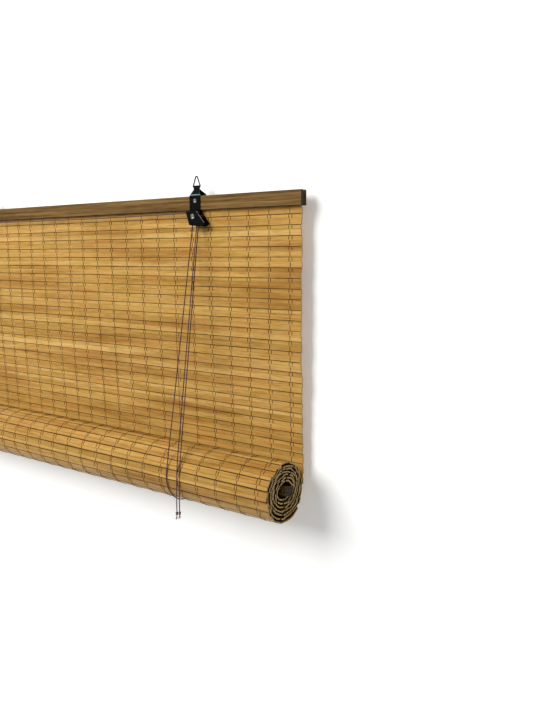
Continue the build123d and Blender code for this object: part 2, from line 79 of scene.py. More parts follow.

# %% [markdown]
# Every shape below is a surface worked out as whole arrays. A surface is a grid of points:
# rows of stations along the piece, and round each station a closed profile. One helper
# turns such grids into a mesh, closes the ends with a flat cap, and keeps three numbers for
# the materials: how far along the piece a point is, a tone that differs per bar, and how
# much painted seam shade (the dark rim) lies on a point. A grid was chosen before modelling
# by hand, because one formula then makes hundreds of strips that all differ a little.


# %% Grids of points into a mesh
def closed_bars(name, points, tone, along, rim=0.0):
    """Closed bars from points[bar, station, profile, xyz].

    Face (i, j) joins station i and i + 1 and profile point j and j + 1, and the profile
    closes on itself. tone[bar], along[bar, station] and rim[bar, 1, profile] are stored
    on the points.
    """
    bars, stations, sides, _ = points.shape
    index = np.arange(bars * stations * sides).reshape(bars, stations, sides)
    here, after = index[:, :-1], index[:, 1:]
    quads = np.stack([here, np.roll(here, -1, 2), np.roll(after, -1, 2), after], axis=-1)
    faces = quads.reshape(-1, 4).tolist()
    faces += index[:, 0, ::-1].reshape(-1, sides).tolist()
    faces += index[:, -1, :].reshape(-1, sides).tolist()
    mesh = bpy.data.meshes.new(name)
    mesh.from_pydata(points.reshape(-1, 3), [], faces)
    grid = (bars, stations, sides)
    tones = np.broadcast_to(tone[:, None, None], grid)
    places = np.broadcast_to(along[:, :, None], grid)
    rims = np.broadcast_to(rim, grid)
    for key, values in (("tone", tones), ("along", places), ("rim", rims)):
        layer = mesh.attributes.new(key, "FLOAT", "POINT")
        layer.data.foreach_set("value", values.astype(np.float32).ravel())
    mesh.update()
    piece = bpy.data.objects.new(name, mesh)
    bpy.context.collection.objects.link(piece)
    return piece


def smooth_by_angle(piece, degrees):
    """Shade a mesh smooth except where its faces meet more sharply than the angle."""
    mesh = piece.data
    mesh.polygons.foreach_set("use_smooth", np.ones(len(mesh.polygons), bool))
    mesh.set_sharp_from_angle(angle=math.radians(degrees))


def triangles(piece):
    """How many triangles a mesh makes: each face gives two fewer than it has corners."""
    sides = np.empty(len(piece.data.polygons), np.int32)
    piece.data.polygons.foreach_get("loop_total", sides)
    return int((sides - 2).sum())


def settle(piece, smooth_degrees, node=None):
    """Smooth a piece, ride it on the blind and hide the CAD node it replaces."""
    if smooth_degrees:
        smooth_by_angle(piece, smooth_degrees)
    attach(piece, "blind")
    if node:
        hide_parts(node)
    return piece


print("helpers ready, lengths in units of", MM, "metres")


# %% [markdown]
# A cord, a thread and a yarn are all a round profile carried along a path. What carries it
# must not twist, so it starts from one fixed direction and is squared to the path at each
# station. A curve's own bevel could do the same, but it knows no three-lobed profile.


# %% A profile along a path
def tube_points(path, radius, sides, reference, lobes=0, lobe_depth=0.0, twist=0.0):
    """Points of tubes along path[tube, station, xyz].

    The profile's radius at angle a is radius times 1 minus lobe_depth times
    (1 - |cos(lobes a / 2)|), and it turns by twist radians per metre of path.
    """
    ahead = np.gradient(path, axis=1)
    ahead /= np.linalg.norm(ahead, axis=2, keepdims=True)
    side = np.cross(np.broadcast_to(reference, ahead.shape), ahead)
    side /= np.linalg.norm(side, axis=2, keepdims=True)
    other = np.cross(ahead, side)
    steps = np.linalg.norm(np.diff(path, axis=1), axis=2)
    run = np.concatenate([np.zeros((len(path), 1)), np.cumsum(steps, axis=1)], axis=1)
    angle = np.linspace(0, 2 * np.pi, sides, endpoint=False)
    hollow = 1 - lobe_depth * (1 - np.abs(np.cos(lobes * angle / 2))) if lobes else 1.0
    turned = angle[None, None, :] + twist * run[:, :, None]
    reach = radius * hollow * np.ones(sides)
    ring = (
        np.cos(turned)[..., None] * side[:, :, None, :]
        + np.sin(turned)[..., None] * other[:, :, None, :]
    )
    return path[:, :, None, :] + ring * reach[None, None, :, None], run


print("tube helper ready")


# %% [markdown]
# ## The two lift cords
# Each cord starts at a knot on the rear shelf of its strap, falls behind the mat, passes
# under the roll and rises in front to a pulley. The left cord runs along under the head rail
# to the lock. Both go over the lock's pulley and hang in front of the roll, where a knot
# ends them. A cord is first a NURBS line through its route's control points. The real one
# is three twisted strands, so the line then carries a three-lobed profile that turns.

# %% Routes of the cords
# All in mm. HIGH and LOW are the corners of the eight-sided cage of control points that
# makes a NURBS line follow the pulley's groove.
HIGH = 5.4
LOW = 2.237
PULLEY_Z = -57.5


def wrap_route(x):
    """Control points down behind the mat and under the roll, for a strap at x."""
    return [
        (x, 13.0, -54.0),
        (x, 10.5, -418.0),
        (x, 10.24, -457.98),
        (x + 0.5, -19.62, -484.95),
        (x + 1.5, -59.65, -480.87),
        (x + 2.2, -83.46, -448.42),
        (x + 1.4, -75.4, -409.2),
    ]


right_route = wrap_route(0.0) + [
    (-5.2, -4.0, -65.9),
    (-HIGH, -1.9, PULLEY_Z + LOW),
    (-LOW, -1.9, PULLEY_Z + HIGH),
    (LOW, -1.9, PULLEY_Z + HIGH),
    (HIGH, -1.9, PULLEY_Z + LOW),
    (6.0, -4.1, -65.8),
    (24.3, -69.4, -379.0),
    (27.5, -80.63, -432.86),
    (27.5, -80.63, -488.0),
]
left_route = wrap_route(-528.0) + [
    (-533.2, -7.4, -65.9),
    (-528.0 - HIGH, -5.4, PULLEY_Z + LOW),
    (-528.0 - LOW, -5.4, PULLEY_Z + HIGH),
    (-519.0, -5.4, -52.2),
    (-438.24, -5.4, -53.0),
    (-264.0, -5.4, -54.1),
    (-89.76, -5.4, -53.0),
    (-8.6, -5.4, -52.15),
    (LOW, -5.4, PULLEY_Z + HIGH),
    (HIGH, -5.4, PULLEY_Z + LOW),
    (5.9, -7.5, -65.8),
    (19.6, -69.9, -379.0),
    (22.0, -80.63, -432.86),
    (22.0, -80.63, -489.5),
]
print("control points", len(right_route), len(left_route))

# %% [markdown]
# Blender reads the smooth line out of a NURBS curve, and the points are then spread
# evenly, so that the strands twist at one pitch all the way. The length that the finished
# line measures is printed.


# %% From a route to a twisted cord
def cord_line(route):
    """Points read from the NURBS line whose control points are the route."""
    curve = bpy.data.curves.new("route", "CURVE")
    curve.dimensions = "3D"
    spline = curve.splines.new("NURBS")
    spline.points.add(len(route) - 1)
    flat = np.ones((len(route), 4))
    flat[:, :3] = np.array(route) * MM
    spline.points.foreach_set("co", flat.ravel())
    spline.order_u = 3
    spline.use_endpoint_u = True
    spline.resolution_u = 24
    holder = bpy.data.objects.new("route", curve)
    mesh = bpy.data.meshes.new_from_object(holder)
    line = np.empty(len(mesh.vertices) * 3)
    mesh.vertices.foreach_get("co", line)
    bpy.data.objects.remove(holder)
    return line.reshape(-1, 3)


def evenly(line, step):
    """The same line with its points a fixed step apart."""
    run = np.concatenate([[0], np.cumsum(np.linalg.norm(np.diff(line, axis=0), axis=1))])
    keep = np.concatenate([[True], np.diff(run) > 1e-9])
    stops = np.linspace(0, run[-1], int(run[-1] / step) + 1)
    return np.stack([np.interp(stops, run[keep], line[keep, k]) for k in range(3)], axis=1)


CORD = 1.8 * MM
CORD_STEP = 1.0 * MM
CORD_SIDES = 12
STRANDS = 3
STRAND_GROOVE = 0.16
TWIST_PITCH = 7.0 * MM
# The direction to square the profile to. The left cord's run under the rail comes within
# a degree of it, and no cord runs right along it.
ACROSS_CORDS = (1.0, 0.013, 0.017)


def twisted_cord(name, node, route):
    """A three-strand cord along its route; the length it measures is printed."""
    line = evenly(cord_line(route), CORD_STEP)
    twist = 2 * np.pi / TWIST_PITCH
    points, run = tube_points(
        line[None], CORD / 2, CORD_SIDES, ACROSS_CORDS, STRANDS, STRAND_GROOVE, twist
    )
    piece = settle(closed_bars(name, points, np.zeros(1), run), 60, node)
    length = round(float(run[0, -1]) / MM, 1)
    print(name, "length in mm", length, "triangles", triangles(piece))
    return piece


right_cord = twisted_cord("lift_cord_right", "cord_right", right_route)
left_cord = twisted_cord("lift_cord_left", "cord_left", left_route)

# %% [markdown]
# ## Knots
# Both ends of each cord are tied in an overhand knot. Its line is the simplest knotted
# curve: it goes twice round while it swings in and out three times. A short frayed tuft
# hangs below the knots at the pull ends. One formula is enough, since a knot is only a few
# millimetres across.


# %% Knots and tufts
KNOT_STATIONS = 72
KNOT_SIDES = 10
KNOT_GROOVE = 0.2
KNOT_TWIST = 900.0
PULLED_TIGHT = 0.47
NARROWER, THICKER = 0.8, 1.1


def knot_line(centre, size):
    """x = 0.8 (sin t + 2 sin 2t), y = -1.1 sin 3t and z = cos t - 2 cos 2t, times size / 3."""
    t = np.linspace(0, 2 * np.pi, KNOT_STATIONS)
    x = (np.sin(t) + 2 * np.sin(2 * t)) * NARROWER
    y = -np.sin(3 * t) * THICKER
    z = np.cos(t) - 2 * np.cos(2 * t)
    return np.array(centre) * MM + np.stack([x, y, z], axis=1) * size / 3


def knots(name, node, centres, size):
    """Overhand knots at the centres, of a cord pulled a little thinner than it hangs."""
    paths = np.stack([knot_line(centre, size) for centre in centres])
    across = (0.21, 0.35, 0.91)
    points, run = tube_points(
        paths, CORD * PULLED_TIGHT, KNOT_SIDES, across, STRANDS, KNOT_GROOVE, KNOT_TWIST
    )
    return settle(closed_bars(name, points, np.zeros(len(centres)), run), 60, node)


REAR_PLACES = [(0, 13, -53.6), (-528, 13, -53.6)]
PULL_PLACES = [(27.5, -80.6, -488), (22.0, -80.6, -489.5)]
rear_knots = knots("rear_knots_tied", "rear_knots", REAR_PLACES, 1.9 * MM)
pull_knots = knots("pull_knots_tied", "pull_cord_knots", PULL_PLACES, 2.2 * MM)
print("knots", len(REAR_PLACES) + len(PULL_PLACES), "triangles", triangles(pull_knots))


YARN_RADIUS = 0.16 * MM
YARN_SIDES = 5
BUNDLE, SPREAD = 0.25, 1.1


def tuft(name, centres, length, strands, seed):
    """Thin yarns from each centre, spreading as the square of the way down."""
    rng = np.random.default_rng(seed)
    s = np.linspace(0, 1, 8)
    lean = rng.normal(0, 1.0, (len(centres), strands, 2))
    reach = length * rng.uniform(0.6, 1.0, (len(centres), strands))
    paths = np.array(centres)[:, None, None, :] * np.ones((1, strands, len(s), 1))
    paths[..., 0] += lean[..., 0, None] * (BUNDLE + SPREAD * s**2)
    paths[..., 1] += lean[..., 1, None] * (BUNDLE + SPREAD * s**2)
    paths[..., 2] -= reach[..., None] * s
    paths = paths.reshape(-1, len(s), 3) * MM
    points, run = tube_points(paths, YARN_RADIUS, YARN_SIDES, (1.0, 0.1, 0.05))
    return settle(closed_bars(name, points, rng.uniform(0, 1, len(paths)), run), 0)


TUFT_PLACES = [(27.5, -80.6, -489.5), (22.0, -80.6, -491.0)]
frayed_ends = tuft("frayed_ends", TUFT_PLACES, 8.0, 14, 5)
print("frayed ends, triangles", triangles(frayed_ends))

# %% [markdown]
# ## The mat
# The mat is woven from flat split strips: a narrow one and a wide one in each repeat. Each
# strip was sliced by machine from the cane wall, so its faces are flat, its edges a little
# wavy, and its colour differs from its neighbour's. A strip is a bar with a rounded flat
# profile. At each seam its front corners wander inwards by up to 0.3 mm, which opens
# the thin dark gaps of the photograph unevenly, while the backs touch and let no light by.

# %% Sizes of the mat
PITCH = 14.57
CLOSE_GAP = 0.10
DARK_GAP = 0.30
NARROW = (PITCH - CLOSE_GAP - DARK_GAP) * 0.4165
WIDE = PITCH - CLOSE_GAP - DARK_GAP - NARROW
MAT_TOP = -29.9
MAT_LEFT, MAT_RIGHT = -714.0, 186.0
ROWS = 28
ROLL_Y, ROLL_Z = -36.0, MAT_TOP - ROWS * PITCH
ROLL_RADIUS, TURNS = 44.0, 7
MAT_Y = 3.0
LEAN_STARTS, LEAN = 0.41, 5.0
WAVE, WAVE_LENGTH = 0.25, 33.0
print("strips", round(NARROW, 2), round(WIDE, 2), "roll centre", ROLL_Y, round(ROLL_Z, 2))


def mat_y(z):
    """Middle of the mat: straight, then leaning back by a smooth step, with a soft wave."""
    fall = MAT_TOP - LEAN_STARTS * (MAT_TOP - ROLL_Z)
    share = np.clip((fall - z) / (fall - ROLL_Z), 0, 1)
    lean = LEAN * share**2 * (3 - 2 * share)
    return MAT_Y + lean + WAVE * np.sin((z - fall) / WAVE_LENGTH) * share * (1 - share) * 4


print("mat y at the top and at the roll", mat_y(MAT_TOP), mat_y(ROLL_Z))

# %% [markdown]
# All strips, hanging or rolled, come from one function that is given where each strip
# starts and ends in the plane across the rail. Where two repeats meet, the edge is rounded
# and carries the dark of the seam as painted shade; between the narrow and the wide strip
# it is nearly sharp and gets little painted shade, because the photograph shows one line
# there and not the other.

# %% Strips as bars
# Points of a strip's profile: which edge (0 upper, 1 lower), how many roundings in from
# it, where in the thickness (-1 front, 1 back), and how far the edge's painted shade reaches.
# The points go round in the sense that makes the faces look outwards.
STRIP_PROFILE = np.array(
    [
        (0, 0.0, 0.5, 1.0),
        (0, 1.0, 1.0, 0.75),
        (0, 1.9, 1.0, 0.0),
        (1, 1.9, 1.0, 0.0),
        (1, 1.0, 1.0, 0.75),
        (1, 0.0, 0.5, 1.0),
        (1, 0.0, -0.5, 1.0),
        (1, 1.0, -1.0, 0.75),
        (1, 1.9, -1.0, 0.0),
        (0, 1.9, -1.0, 0.0),
        (0, 1.0, -1.0, 0.75),
        (0, 0.0, -0.5, 1.0),
    ]
)
SEAM_ROUNDING, JOINT_ROUNDING = 0.42, 0.12
# The share of the painted seam shade that a joint between narrow and wide strip gets.
JOINT_DARKNESS = 0.22
# Length and size in mm of the three waves of a seam's edge, and of a strip's slow stand.
EDGE_WAVES = ((310.0, 0.07), (95.0, 0.05), (33.0, 0.03))
STAND, STAND_LENGTH = 0.10, 380.0


def strip_bars(starts, ends, lows, highs, stations, rng, rag):
    """Strips from start to end, between the distances lows and highs on the way.

    Even strips have their rounded, dark edge at the start and odd ones at the end, where
    one repeat of the weave meets the next. The front of that edge moves inwards by a sum
    of three sine waves of x with random phases, and each strip stands forward by a slow
    wave of its own. The cut ends fall short of the mat's width by up to rag.
    """
    bars = len(starts)
    along = ends - starts
    along /= np.linalg.norm(along, axis=1, keepdims=True)
    across = np.stack([along[:, 1], -along[:, 0]], axis=1)
    edge, steps, depth, reach = STRIP_PROFILE.T
    at_seam = (np.arange(bars)[:, None] + edge[None]) % 2 == 0
    rounding = np.where(at_seam, SEAM_ROUNDING, JOINT_ROUNDING)
    # The rim is painted seam shade: full at a seam, JOINT_DARKNESS of it at a joint.
    rim = reach * np.where(at_seam, 1.0, JOINT_DARKNESS)
    left = MAT_LEFT + rng.uniform(0.0, rag, (bars, 1))
    right = MAT_RIGHT - rng.uniform(0.0, rag, (bars, 1))
    s = np.linspace(0, 1, stations)
    x = left * (1 - s) + right * s
    waves = np.zeros((bars, stations))
    for length, size in EDGE_WAVES:
        phase = rng.uniform(0, 2 * np.pi, (bars, 1))
        waves += size * (1 + np.sin(2 * np.pi * x / length + phase))
    phase = rng.uniform(0, 2 * np.pi, (bars, 1))
    stand = STAND * np.sin(2 * np.pi * x / STAND_LENGTH + phase)
    inwards = (1 - 2 * edge) * steps * rounding
    base = np.where(edge == 0, lows[:, None], highs[:, None]) + inwards
    ragged = np.where(at_seam & (depth < 0), 1 - 2 * edge, 0.0)
    u = base[:, None] + ragged[:, None] * waves[..., None]
    v = np.broadcast_to(depth, u.shape) - stand[..., None]
    y = starts[:, 0, None, None] + along[:, 0, None, None] * u + across[:, 0, None, None] * v
    z = starts[:, 1, None, None] + along[:, 1, None, None] * u + across[:, 1, None, None] * v
    points = np.stack([np.broadcast_to(x[..., None], y.shape), y, z], axis=-1) * MM
    return points, x, rim[:, None]


def woven_tones(rng, count):
    """A tone per strip: most near the middle, a few much paler or darker."""
    tones = rng.normal(0.5, 0.17, count)
    odd = rng.uniform(0, 1, count)
    tones = np.where(odd < 0.10, tones + 0.28, np.where(odd > 0.92, tones - 0.24, tones))
    return np.clip(tones, 0, 1)


print("points in a strip's profile", len(STRIP_PROFILE))

# %% [markdown]
# Each row of the hanging mat is one repeat: a narrow strip above a wide one. It takes the
# place of the plain row in the CAD model.

# %% Hanging rows
ROW_STATIONS = 46
ROW_RAG = 2.2
rng = np.random.default_rng(28)
joint_z = MAT_TOP - PITCH * np.arange(ROWS + 1)
joints = np.stack([mat_y(joint_z), joint_z], axis=1)
for row in range(ROWS):
    starts = np.repeat(joints[row : row + 1], 2, axis=0)
    ends = np.repeat(joints[row + 1 : row + 2], 2, axis=0)
    span = np.linalg.norm(ends[0] - starts[0])
    lows = np.array([0.0, NARROW + CLOSE_GAP / 2])
    highs = np.array([NARROW + CLOSE_GAP / 2, span])
    points, x, rim = strip_bars(starts, ends, lows, highs, ROW_STATIONS, rng, ROW_RAG)
    tones = woven_tones(rng, 2)
    piece = closed_bars("strips_row_%02d" % (row + 1), points, tones, x * MM, rim)
    settle(piece, 50, "weave_row_%02d" % (row + 1))
print("hanging rows", ROWS, "triangles in one", triangles(piece))

# %% [markdown]
# ## The roll
# The rolled mat is the same strips, laid corner to corner along a spiral that starts at
# the bottom rail and ends where the hanging part leaves it. Because the strips are stiff,
# each turn is a polygon, and the end of the roll shows their pale cut ends with dark
# openings between them. The spiral is worked out turn by turn as one line, and its joints
# are found on that line, and then pushed in or out by about a millimetre at most.


# %% Corners along the spiral
CORE_Y, CORE_Z = 18.5, 11.0
CORE_RISE = 4.0
CORE_MEAN = 14.7
FIRST_STEP = 0.15
LINE_POINTS = 40000
CORE_CLEARANCE = 3.0
# More pairs of strips than the spiral holds; those past its end are left out.
STRIP_PAIRS = 110
PASSES = 3


def spiral(t):
    """Point after t turns from the core: an oval that grows evenly into a circle."""
    angle = -2 * np.pi * (TURNS - t)
    share = t / TURNS
    half_y = CORE_Y + (ROLL_RADIUS - CORE_Y) * share
    half_z = CORE_Z + (ROLL_RADIUS - CORE_Z) * share
    y = ROLL_Y + half_y * np.cos(angle)
    z = ROLL_Z + CORE_RISE * (1 - share) + half_z * np.sin(angle)
    return np.stack([y, z], axis=-1)


# Heights in mm and waves per turn of the bulges, and the random step of a joint in mm.
SLOW_BULGE, SLOW_WAVES = 0.36, 3.37
FAST_BULGE, FAST_WAVES = 0.26, 7.19
LOOSE_JOINT = 0.42
# Turns at the core and at the rim that don't bulge, and the turn's share of the fade.
CALM_CORE, CALM_RIM, RIM_FADE = 1.0, 0.75, 0.5


def uneven(points, turns):
    """Inner turns bulge in and out: two sine waves of the turn and a random step per joint.

    It is nought in the innermost turn and in the last three quarters of the outermost one,
    and it fades in and out next to them.
    """
    centre = np.array([ROLL_Y, ROLL_Z])
    outwards = points - centre
    outwards /= np.linalg.norm(outwards, axis=1, keepdims=True)
    bulge = SLOW_BULGE * np.sin(2 * np.pi * SLOW_WAVES * turns)
    bulge += FAST_BULGE * np.sin(2 * np.pi * FAST_WAVES * turns + 1)
    bulge += np.random.default_rng(17).uniform(-LOOSE_JOINT, LOOSE_JOINT, len(turns))
    share = np.clip(turns - CALM_CORE, 0, 1)
    share = share * np.clip((TURNS - CALM_RIM - turns) / RIM_FADE, 0, 1)
    return points + outwards * (bulge * share)[:, None]


def spiral_corners():
    """Joints from the outside in, a strip's chord apart: arc = chord (1 + chord^2 / 24 r^2)."""
    start = TURNS - FIRST_STEP / (2 * np.pi * ROLL_RADIUS)
    t = np.linspace(start, 0.0, LINE_POINTS)
    line = spiral(t)
    run = np.concatenate([[0], np.cumsum(np.linalg.norm(np.diff(line, axis=0), axis=1))])
    chords = np.tile([NARROW + CLOSE_GAP, WIDE + DARK_GAP], STRIP_PAIRS)
    stops = np.concatenate([[0], np.cumsum(chords)])
    for _ in range(PASSES):
        place = np.interp(stops, run, t)
        radius = CORE_MEAN + (ROLL_RADIUS - CORE_MEAN) * place[:-1] / TURNS
        arcs = chords * (1 + chords**2 / (24 * radius**2))
        stops = np.concatenate([[0], np.cumsum(arcs)])
    inside = stops < run[-1] - CORE_CLEARANCE
    turns = np.interp(stops[inside], run, t)
    return uneven(spiral(turns), turns)


# The last strips turn in between the two battens of the bottom rail, so their joints are
# given one by one, as y and z.
tail = np.array(
    [
        (-17.5, -433.86),
        (-21.28, -439.27),
        (-29.75, -437.78),
        (-37.62, -436.39),
        (-42.55, -435.52),
    ]
)
outer = spiral_corners()
corners = np.concatenate([outer[:-1], tail])
print("corners", len(outer), "last", outer[-1].round(1))

# %% [markdown]
# In the photograph the openings between the turns are nearly black. The lamps alone leave
# them too light, so every face that looks into the roll gets the dark of the seams as a
# colour. That is painted shade, and it stays under any light. Each strip stops
# 0.03 mm short of its joints.

# %% Strips of the roll
PAINTED_TURN_SHADE = 0.88
TURN_GAP = 0.03
ROLL_STATIONS = 30
ROLL_RAG = 3.2
OUTER_STRIPS = 38
steps = np.diff(corners, axis=0)
spans = np.linalg.norm(steps, axis=1)
roll_rng = np.random.default_rng(7)
gap = np.full(len(spans), TURN_GAP)
points, x, rim = strip_bars(
    corners[:-1], corners[1:], gap, spans - gap, ROLL_STATIONS, roll_rng, ROLL_RAG
)
# Painted shade: the backs of the strips and all of the inner strips get the seams' dark.
rim = np.where(STRIP_PROFILE[:, 2] > 0, PAINTED_TURN_SHADE, rim)
rim[OUTER_STRIPS:] = PAINTED_TURN_SHADE
roll = closed_bars("rolled_strips", points, woven_tones(roll_rng, len(spans)), x * MM, rim)
settle(roll, 50, "rolled_mat")
print("roll strips", len(spans), "triangles", triangles(roll))

# %% [markdown]
# ## Warp threads
# Brown cotton threads tie the strips in columns. In each column two threads go over every
# narrow strip and behind every wide one, and a third does the opposite. On the roll the
# mat shows its other face, so there the pair lies on the wide strips. A thread is a thin
# tube on a line that runs flat over a strip and dives through the gap to the other side.


# %% Thread lines
THREAD_LIFT = 1.26
DIVE = 0.14
SURFACE = 0.86


def thread_lines(nodes, xs, side_on_narrow):
    """Lines (column, station, xyz) that weave through the strips between the nodes.

    At a joint the line is in the middle of the mat. From the share DIVE to the share
    SURFACE of a strip it is THREAD_LIFT to one side of the mat, and by turns to the other.
    """
    step = np.diff(nodes, axis=0)
    ahead = step / np.linalg.norm(step, axis=1, keepdims=True)
    square = np.stack([ahead[:, 1], -ahead[:, 0]], axis=1)
    side = np.where(np.arange(len(step)) % 2 == 0, side_on_narrow, -side_on_narrow)
    lift = THREAD_LIFT * side[:, None]
    low = nodes[:-1] + step * DIVE + square * lift
    high = nodes[:-1] + step * SURFACE + square * lift
    line = np.stack([nodes[:-1], low, high], axis=1).reshape(-1, 2)
    line = np.concatenate([line, nodes[-1:]])
    paths = np.empty((len(xs), len(line), 3))
    paths[..., 0] = xs[:, None]
    paths[..., 1:] = line[None]
    return paths * MM


hanging = np.empty((2 * ROWS + 1, 2))
hanging[0::2] = joints
hanging[1::2] = joints[:-1] + (joints[1:] - joints[:-1]) * ((NARROW + CLOSE_GAP / 2) / PITCH)
RAIL_BOTTOM = -48.7
THREAD_JOINTS = 52
# The joints below the rail, and then those of the roll's outer turns as far as a thread shows.
first_node = [(mat_y(RAIL_BOTTOM), RAIL_BOTTOM)]
thread_nodes = np.concatenate([first_node, hanging[3:], outer[1:THREAD_JOINTS]])
COLUMN_SPACING, FIRST_COLUMN, COLUMNS = 35.9, 19.2, 25
columns = MAT_RIGHT - FIRST_COLUMN - COLUMN_SPACING * np.arange(COLUMNS)
print("thread columns", len(columns), "joints on a thread", len(thread_nodes))

# %% [markdown]
# No thread runs quite straight. Each wanders to the side by a random walk that returns to
# its column, and it is kept thin so that its colour and not its size makes it show.

# %% Threads in columns
THREAD_RADIUS = 0.31 * MM
THREAD_SIDES = 6
PLACE_ERROR, STEP_ERROR, MOST_WANDER = 0.25, 0.10, 0.8


def threads(name, node, offsets, side, seed):
    """Threads at the offsets from each column, wandering a little from side to side."""
    rng = np.random.default_rng(seed)
    xs = (columns[:, None] + np.array(offsets)[None]).ravel()
    xs = xs + rng.normal(0, PLACE_ERROR, len(xs))
    paths = thread_lines(thread_nodes, xs, side)
    wander = np.cumsum(rng.normal(0, STEP_ERROR, paths.shape[:2]), axis=1)
    wander -= np.linspace(0, 1, paths.shape[1])[None] * wander[:, -1:]
    paths[..., 0] += np.clip(wander, -MOST_WANDER, MOST_WANDER) * MM
    points, run = tube_points(paths, THREAD_RADIUS, THREAD_SIDES, (1.0, 0.0, 0.0))
    piece = closed_bars(name, points, rng.uniform(0, 1, len(xs)), run)
    print(name, "threads", len(xs), "triangles", triangles(piece))
    return settle(piece, 70, node)


paired_threads = threads("paired_warp_threads", "warp_threads_front", (-2.6, 2.4), 1.0, 11)
single_threads = threads("single_warp_threads", "warp_threads_rear", (-0.3,), -1.0, 12)

# %% [markdown]
# ## Materials
# Each finish is named for what it really is. Colours are written as sRGB hex values, and
# one function turns them into the linear numbers that the shader works with. One more
# function adds a node with its settings, colour stops and links. Patterns lie on Object
# coordinates, which are metres here, so a feature's size in mm sets its scale.


# %% Helpers for materials
def colour(code):
    """Linear RGBA of an sRGB hex value."""
    parts = np.array([int(code[k : k + 2], 16) for k in (1, 3, 5)]) / 255
    linear = np.where(parts <= 0.04045, parts / 12.92, ((parts + 0.055) / 1.055) ** 2.4)
    return (*linear.tolist(), 1.0)


def add(tree, kind, inputs=None, stops=(), **settings):
    """Add a node, apply its settings and colour stops, and set or link its inputs."""
    item = tree.nodes.new(kind)
    for key, value in settings.items():
        setattr(item, key, value)
    for key, value in (inputs or {}).items():
        if isinstance(value, bpy.types.NodeSocket):
            tree.links.new(value, item.inputs[key])
        else:
            item.inputs[key].default_value = value
    for _ in stops[2:]:
        item.color_ramp.elements.new(0.5)
    for k, (place, code) in enumerate(stops):
        item.color_ramp.elements[k].position = place
        item.color_ramp.elements[k].color = colour(code)
    return item


def finish_named(name):
    """A new material with an empty tree, its shader and its output."""
    material = bpy.data.materials.new(name)
    material.use_nodes = True
    tree = material.node_tree
    tree.nodes.clear()
    shader = add(tree, "ShaderNodeBsdfPrincipled")
    add(tree, "ShaderNodeOutputMaterial", {"Surface": shader.outputs["BSDF"]})
    return material, tree, shader


def mottle(tree, sizes, detail, roughness=0.55):
    """Noise on Object coordinates whose features measure sizes, in mm, along x, y and z."""
    place = add(tree, "ShaderNodeTexCoord").outputs["Object"]
    scale = [1 / (size * MM) for size in sizes]
    stretched = add(tree, "ShaderNodeMapping", {"Vector": place, "Scale": scale})
    inputs = {"Vector": stretched.outputs[0], "Scale": 1.0}
    inputs.update({"Detail": detail, "Roughness": roughness})
    return add(tree, "ShaderNodeTexNoise", inputs).outputs[0]


def coloured(tree, sizes, detail, stops, roughness=0.55):
    """A mottle of the given sizes, with colours at places from 0 to 1 along its strength."""
    strength = mottle(tree, sizes, detail, roughness)
    return add(tree, "ShaderNodeValToRGB", {"Fac": strength}, stops).outputs["Color"]


def uneven_skin(tree, shader, height, strength, distance):
    """Bump a shader's surface by a pattern; distance is the depth of the relief in mm."""
    inputs = {"Height": height, "Strength": strength, "Distance": distance * MM}
    relief = add(tree, "ShaderNodeBump", inputs)
    tree.links.new(relief.outputs[0], shader.inputs["Normal"])


def wear(pieces, material):
    """Give one material to every listed object and say so."""
    for piece in pieces:
        piece.data.materials.clear()
        piece.data.materials.append(material)
    print(material.name, "on pieces", len(pieces))


# Settings of a Mix node for colours: laid over, multiplied as a glaze is, or added as light.
OVER = {"data_type": "RGBA", "blend_type": "MIX"}
GLAZE = {"data_type": "RGBA", "blend_type": "MULTIPLY"}
LIGHT = {"data_type": "RGBA", "blend_type": "ADD"}
BLACK_TO_WHITE = ("#000000", "#FFFFFF")
print("helpers for materials ready")

# %% [markdown]
# Split bamboo, machine sliced and carbonised by steam: straw gold to caramel, with fine
# fibres along the strip and short darker streaks. Real fibres lie about a third of a
# millimetre apart, and are drawn twice as coarse so that they show. The tone attribute
# makes one strip paler than the next, and the sliced faces are satin, not glossy.

# %% Split bamboo: strips and streaks
bamboo, tree, shader = finish_named("split_carbonised_bamboo")
tone = add(tree, "ShaderNodeAttribute", attribute_name="tone").outputs["Fac"]
body_stops = [(0.0, "#8E6B32"), (0.35, "#B58B49"), (0.65, "#C69D58"), (1.0, "#DFBD7B")]
body = add(tree, "ShaderNodeValToRGB", {"Fac": tone}, body_stops).outputs["Color"]
streak_stops = [(0.28, "#7F5A26"), (0.44, "#C0984F"), (0.60, "#D0A75C"), (0.78, "#ECCB88")]
streaked = coloured(tree, (111.11, 2.381, 2.381), 5.0, streak_stops, 0.65)
mixed = add(tree, "ShaderNodeMix", {0: 0.5, 6: body, 7: streaked}, **OVER).outputs[2]
hue_stops = [(0.32, "#EDE8BE"), (0.5, "#FFFFFF"), (0.68, "#FFEEDB")]
shifted = coloured(tree, (62.5, 9.0909, 9.0909), 2.0, hue_stops)
mixed = add(tree, "ShaderNodeMix", {0: 0.75, 6: mixed, 7: shifted}, **GLAZE).outputs[2]
print("nodes so far", len(tree.nodes))

# %% [markdown]
# Over the strip's own colour lie the fibres, pressed a little into the surface, wide pale
# and brown patches, and the dark of the seams. A seam's gap is too narrow here to hold the
# shade that the photograph shows, so the rim attribute paints it on the strips' edges.

